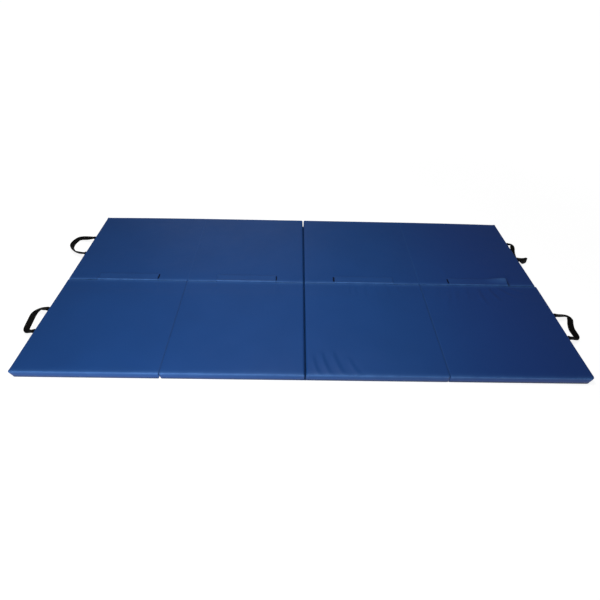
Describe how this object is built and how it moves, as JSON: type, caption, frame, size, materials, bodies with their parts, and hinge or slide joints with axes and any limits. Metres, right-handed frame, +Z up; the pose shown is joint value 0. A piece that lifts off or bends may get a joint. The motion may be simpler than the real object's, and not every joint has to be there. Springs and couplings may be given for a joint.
{
  "type": "folding gym mat",
  "caption": "Thin foam floor mat of long halves, each a strip of square vinyl-covered panels that folds up like an accordion, joined by hook-and-loop flaps, with strap handles at the ends.",
  "frame": {"origin": "middle of the mat's footprint, handles included, on the floor", "axes": "+X along the mat's length, +Y towards the half that the flaps fasten on, +Z up"},
  "size_m": [2.6904, 1.22, 0.0406],
  "materials": {
    "vinyl": "satin",
    "foam": "matte",
    "zip_tape": "matte",
    "zip_metal": "satin",
    "webbing": "matte",
    "hook_tape": "matte",
    "loop_tape": "matte"
  },
  "bodies": {
    "panel_back_1": {"cover_back_1": "vinyl", "foam_back_1": "foam", "zip_tape_back_1": "zip_tape", "hinge_strip_back_12": "vinyl", "handle_anchor_back_left": "webbing", "loop_patch_1": "loop_tape"},
    "slider_back_1": {"zip_slider_back_1": "zip_metal"},
    "panel_back_2": {"cover_back_2": "vinyl", "foam_back_2": "foam", "zip_tape_back_2": "zip_tape", "hinge_strip_back_23": "vinyl", "loop_patch_2": "loop_tape"},
    "slider_back_2": {"zip_slider_back_2": "zip_metal"},
    "panel_back_3": {"cover_back_3": "vinyl", "foam_back_3": "foam", "zip_tape_back_3": "zip_tape", "hinge_strip_back_34": "vinyl", "loop_patch_3": "loop_tape"},
    "slider_back_3": {"zip_slider_back_3": "zip_metal"},
    "panel_back_4": {"cover_back_4": "vinyl", "foam_back_4": "foam", "zip_tape_back_4": "zip_tape", "handle_anchor_back_right": "webbing", "loop_patch_4": "loop_tape"},
    "slider_back_4": {"zip_slider_back_4": "zip_metal"},
    "loop_back_left": {"handle_back_left": "webbing"},
    "loop_back_right": {"handle_back_right": "webbing"},
    "panel_front_1": {"cover_front_1": "vinyl", "foam_front_1": "foam", "zip_tape_front_1": "zip_tape", "hinge_strip_front_12": "vinyl", "handle_anchor_front_left": "webbing"},
    "slider_front_1": {"zip_slider_front_1": "zip_metal"},
    "panel_front_2": {"cover_front_2": "vinyl", "foam_front_2": "foam", "zip_tape_front_2": "zip_tape", "hinge_strip_front_23": "vinyl"},
    "slider_front_2": {"zip_slider_front_2": "zip_metal"},
    "panel_front_3": {"cover_front_3": "vinyl", "foam_front_3": "foam", "zip_tape_front_3": "zip_tape", "hinge_strip_front_34": "vinyl"},
    "slider_front_3": {"zip_slider_front_3": "zip_metal"},
    "panel_front_4": {"cover_front_4": "vinyl", "foam_front_4": "foam", "zip_tape_front_4": "zip_tape", "handle_anchor_front_right": "webbing"},
    "slider_front_4": {"zip_slider_front_4": "zip_metal"},
    "loop_front_left": {"handle_front_left": "webbing"},
    "loop_front_right": {"handle_front_right": "webbing"},
    "flap_1": {"join_flap_1": "vinyl", "flap_hook_1": "hook_tape"},
    "flap_2": {"join_flap_2": "vinyl", "flap_hook_2": "hook_tape"},
    "flap_3": {"join_flap_3": "vinyl", "flap_hook_3": "hook_tape"},
    "flap_4": {"join_flap_4": "vinyl", "flap_hook_4": "hook_tape"}
  },
  "joints": [
    {"name": "fold_back_12", "type": "hinge", "parent": "panel_back_1", "child": "panel_back_2", "pos_m": [-0.61, 0.305, 0.041], "axis": [0, -1, 0], "range_deg": [0, 180], "deforming": ["hinge_strip_back_12"]},
    {"name": "fold_back_23", "type": "hinge", "parent": "panel_back_2", "child": "panel_back_3", "pos_m": [0, 0.305, -0.0004], "axis": [0, 1, 0], "range_deg": [0, 180], "deforming": ["hinge_strip_back_23"]},
    {"name": "fold_back_34", "type": "hinge", "parent": "panel_back_3", "child": "panel_back_4", "pos_m": [0.61, 0.305, 0.041], "axis": [0, -1, 0], "range_deg": [0, 180], "deforming": ["hinge_strip_back_34"]},
    {"name": "fold_front_12", "type": "hinge", "parent": "panel_front_1", "child": "panel_front_2", "pos_m": [-0.61, -0.305, 0.041], "axis": [0, -1, 0], "range_deg": [0, 180], "deforming": ["hinge_strip_front_12"]},
    {"name": "fold_front_23", "type": "hinge", "parent": "panel_front_2", "child": "panel_front_3", "pos_m": [0, -0.305, -0.0004], "axis": [0, 1, 0], "range_deg": [0, 180], "deforming": ["hinge_strip_front_23"]},
    {"name": "fold_front_34", "type": "hinge", "parent": "panel_front_3", "child": "panel_front_4", "pos_m": [0.61, -0.305, 0.041], "axis": [0, -1, 0], "range_deg": [0, 180], "deforming": ["hinge_strip_front_34"]},
    {"name": "halves_apart", "type": "slide", "parent": "panel_back_1", "child": "panel_front_1", "axis": [0, -1, 0], "range_m": [0, 0.25]},
    {"name": "flap_lift_1", "type": "hinge", "parent": "panel_front_1", "child": "flap_1", "pos_m": [-0.922, 0, 0.0394], "axis": [1, 0, 0], "range_deg": [0, 180]},
    {"name": "flap_lift_2", "type": "hinge", "parent": "panel_front_2", "child": "flap_2", "pos_m": [-0.308, 0, 0.0394], "axis": [1, 0, 0], "range_deg": [0, 180]},
    {"name": "flap_lift_3", "type": "hinge", "parent": "panel_front_3", "child": "flap_3", "pos_m": [0.308, 0, 0.0394], "axis": [1, 0, 0], "range_deg": [0, 180]},
    {"name": "flap_lift_4", "type": "hinge", "parent": "panel_front_4", "child": "flap_4", "pos_m": [0.922, 0, 0.0394], "axis": [1, 0, 0], "range_deg": [0, 180]},
    {"name": "handle_swing_back_left", "type": "hinge", "parent": "panel_back_1", "child": "loop_back_left", "pos_m": [-1.223, 0.305, 0.033], "axis": [0, 1, 0], "range_deg": [-60, 94]},
    {"name": "handle_swing_back_right", "type": "hinge", "parent": "panel_back_4", "child": "loop_back_right", "pos_m": [1.223, 0.305, 0.033], "axis": [0, 1, 0], "range_deg": [-94, 60]},
    {"name": "zip_run_back_1", "type": "slide", "parent": "panel_back_1", "child": "slider_back_1", "axis": [0, -1, 0], "range_m": [0, 0.538]},
    {"name": "zip_run_back_2", "type": "slide", "parent": "panel_back_2", "child": "slider_back_2", "axis": [0, 1, 0], "range_m": [0, 0.538]},
    {"name": "zip_run_back_3", "type": "slide", "parent": "panel_back_3", "child": "slider_back_3", "axis": [0, 1, 0], "range_m": [0, 0.538]},
    {"name": "zip_run_back_4", "type": "slide", "parent": "panel_back_4", "child": "slider_back_4", "axis": [0, -1, 0], "range_m": [0, 0.538]},
    {"name": "handle_swing_front_left", "type": "hinge", "parent": "panel_front_1", "child": "loop_front_left", "pos_m": [-1.223, -0.305, 0.033], "axis": [0, 1, 0], "range_deg": [-60, 94]},
    {"name": "handle_swing_front_right", "type": "hinge", "parent": "panel_front_4", "child": "loop_front_right", "pos_m": [1.223, -0.305, 0.033], "axis": [0, 1, 0], "range_deg": [-94, 60]},
    {"name": "zip_run_front_1", "type": "slide", "parent": "panel_front_1", "child": "slider_front_1", "axis": [0, 1, 0], "range_m": [0, 0.538]},
    {"name": "zip_run_front_2", "type": "slide", "parent": "panel_front_2", "child": "slider_front_2", "axis": [0, -1, 0], "range_m": [0, 0.538]},
    {"name": "zip_run_front_3", "type": "slide", "parent": "panel_front_3", "child": "slider_front_3", "axis": [0, -1, 0], "range_m": [0, 0.538]},
    {"name": "zip_run_front_4", "type": "slide", "parent": "panel_front_4", "child": "slider_front_4", "axis": [0, 1, 0], "range_m": [0, 0.538]}
  ],
  "couplings": [
    {"joint": "fold_front_12", "follows": "fold_back_12", "ratio": 1},
    {"joint": "fold_front_23", "follows": "fold_back_23", "ratio": 1},
    {"joint": "fold_front_34", "follows": "fold_back_34", "ratio": 1}
  ]
}
